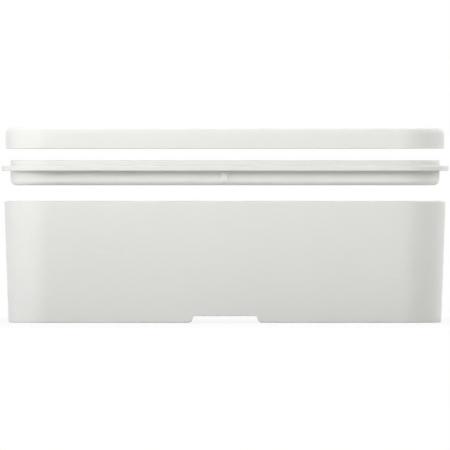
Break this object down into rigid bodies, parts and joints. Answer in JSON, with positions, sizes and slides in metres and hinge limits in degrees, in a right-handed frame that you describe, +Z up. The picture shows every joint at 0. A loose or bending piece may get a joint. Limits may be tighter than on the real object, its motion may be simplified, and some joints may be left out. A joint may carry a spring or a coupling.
{
  "type": "bento lunch box",
  "caption": "Rounded rectangular bento lunch box, shown open: a drafted tub with a strap notch under it, a plug-in tray lid with a seal ring, and an outer cover, both lids lifting straight off.",
  "frame": {"origin": "on the surface that the tub stands on, under the tub's middle", "axes": "+X along the length, +Y from the front to the back, +Z up, the way the lids lift"},
  "size_m": [0.18, 0.113, 0.0784],
  "materials": {
    "container_plastic": "off-white moulded polypropylene, fine satin",
    "inner_lid_plastic": "off-white moulded polypropylene, fine satin",
    "seal_silicone": "translucent white moulded silicone",
    "outer_lid_plastic": "off-white moulded polypropylene, fine satin"
  },
  "bodies": {
    "container": {"container": "container_plastic"},
    "inner_lid": {"inner_lid": "inner_lid_plastic", "seal_ring": "seal_silicone"},
    "outer_lid": {"outer_lid": "outer_lid_plastic"}
  },
  "joints": [
    {"name": "inner_lid_lift", "type": "slide", "parent": "container", "child": "inner_lid", "axis": [0, 0, 1], "range_m": [-0.01255, 0.06]},
    {"name": "outer_lid_lift", "type": "slide", "parent": "inner_lid", "child": "outer_lid", "axis": [0, 0, 1], "range_m": [-0.0069, 0.05]}
  ]
}
